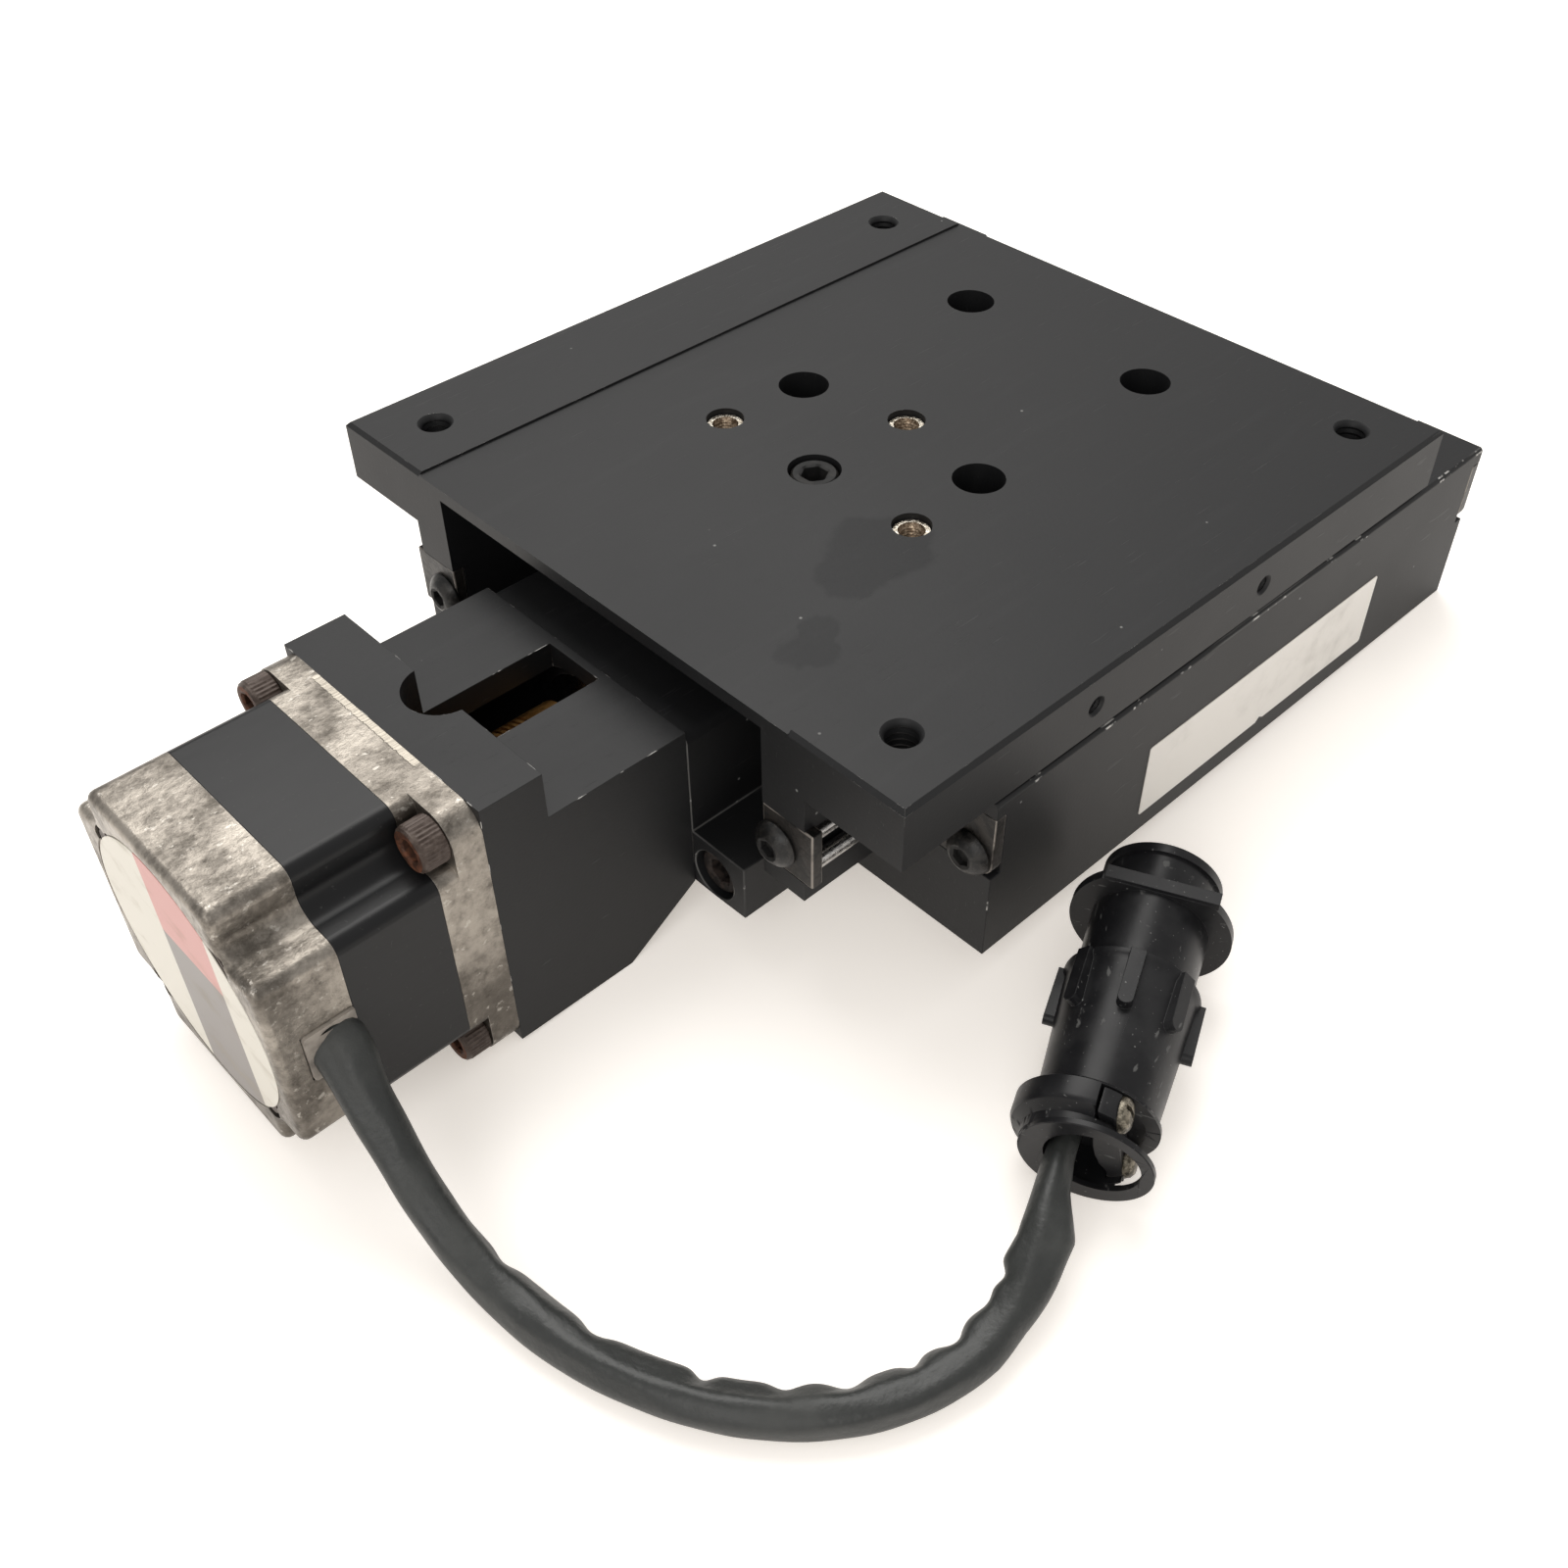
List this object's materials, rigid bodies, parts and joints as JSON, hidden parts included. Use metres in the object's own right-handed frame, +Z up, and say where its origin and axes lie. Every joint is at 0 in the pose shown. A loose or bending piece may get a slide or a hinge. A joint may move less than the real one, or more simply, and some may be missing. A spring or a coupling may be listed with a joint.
{
  "type": "linear translation stage",
  "caption": "Motorised linear translation stage: a black carriage on ball slides over a channel base, driven by a lead screw, helical coupling and stepping motor with a cable and plug.",
  "frame": {"origin": "centre of the stage's footprint without its cable, at the height of the motor's lowest side", "axes": "+X along the travel, away from the motor; +Y to the left seen from the motor; +Z up, square to the table top"},
  "size_m": [0.2628, 0.2038, 0.0629],
  "materials": {
    "black_anodised": "satin black anodised, with worn bright edges",
    "dark_steel": "dark oxidised",
    "ground_steel": "ground bright",
    "rusty_steel": "brown with surface rust",
    "bronze": "dull bronze",
    "die_cast": "raw die-cast, mottled",
    "motor_steel": "satin black paint over steel",
    "black_plastic": "glossy black",
    "grommet_rubber": "matt black",
    "cable_sleeve": "wrinkled dark sleeve"
  },
  "bodies": {
    "base": {"base_channel": "black_anodised", "base_end_cap_front_left": "dark_steel", "base_end_cap_front_right": "dark_steel", "base_end_cap_rear_left": "dark_steel", "base_end_cap_rear_right": "dark_steel", "base_end_cap_screws": "dark_steel", "base_slide_rods_left": "ground_steel", "base_slide_rods_right": "ground_steel", "bearing_block_screws": "rusty_steel", "bearing_retainer": "ground_steel", "cable_grommet": "grommet_rubber", "coupling_housing": "black_anodised", "front_bearing_block": "black_anodised", "front_screw_bearings": "ground_steel", "housing_screws": "rusty_steel", "motor_bearings": "ground_steel", "motor_body_screws": "rusty_steel", "motor_cable": "cable_sleeve", "motor_front_bracket": "die_cast", "motor_mount_screws": "rusty_steel", "motor_rear_cap": "die_cast", "motor_stator": "motor_steel", "motor_windings": "bronze", "plug_back_shell": "black_plastic", "plug_cable_clamp": "black_plastic", "plug_clamp_saddle": "black_plastic", "plug_clamp_screws": "ground_steel", "plug_contacts": "bronze", "plug_front_shell": "black_plastic", "plug_insert": "black_plastic", "rear_bearing_block": "black_anodised", "rear_block_screws": "rusty_steel", "rear_screw_bearing": "ground_steel"},
    "carriage": {"carriage_table": "black_anodised", "carriage_slide_rods_right": "ground_steel", "carriage_slide_rods_left": "ground_steel", "carriage_end_cap_front_right": "dark_steel", "carriage_end_cap_front_left": "dark_steel", "carriage_end_cap_rear_right": "dark_steel", "carriage_end_cap_rear_left": "dark_steel", "carriage_end_cap_screws": "dark_steel", "threaded_inserts": "ground_steel", "nut_bracket": "black_anodised", "lead_nut": "bronze", "nut_screws": "ground_steel", "nut_bracket_screw": "rusty_steel"},
    "cage_right": {"ball_cage_right": "bronze", "slide_balls_right": "ground_steel"},
    "cage_left": {"ball_cage_left": "bronze", "slide_balls_left": "ground_steel"},
    "drive": {"lead_screw": "ground_steel", "bearing_lock_nut": "ground_steel", "helical_coupling": "bronze", "coupling_set_screws": "ground_steel", "motor_shaft": "ground_steel", "motor_rotor": "motor_steel"}
  },
  "joints": [
    {"name": "carriage_slide", "type": "slide", "parent": "base", "child": "carriage", "axis": [1, 0, 0], "range_m": [-0.0027, 0.0481]},
    {"name": "screw_spin", "type": "hinge", "parent": "base", "child": "drive", "pos_m": [0, 0, 0.0282], "axis": [1, 0, 0], "range_deg": [-191.5, 3409]},
    {"name": "cage_slide_right", "type": "slide", "parent": "base", "child": "cage_right", "axis": [1, 0, 0], "range_m": [-0.00136, 0.02406]},
    {"name": "cage_slide_left", "type": "slide", "parent": "base", "child": "cage_left", "axis": [1, 0, 0], "range_m": [-0.00136, 0.02406]}
  ],
  "couplings": [
    {"joint": "screw_spin", "follows": "carriage_slide", "rad_per_m": 1236.8},
    {"joint": "cage_slide_right", "follows": "carriage_slide", "ratio": 0.5},
    {"joint": "cage_slide_left", "follows": "carriage_slide", "ratio": 0.5}
  ]
}
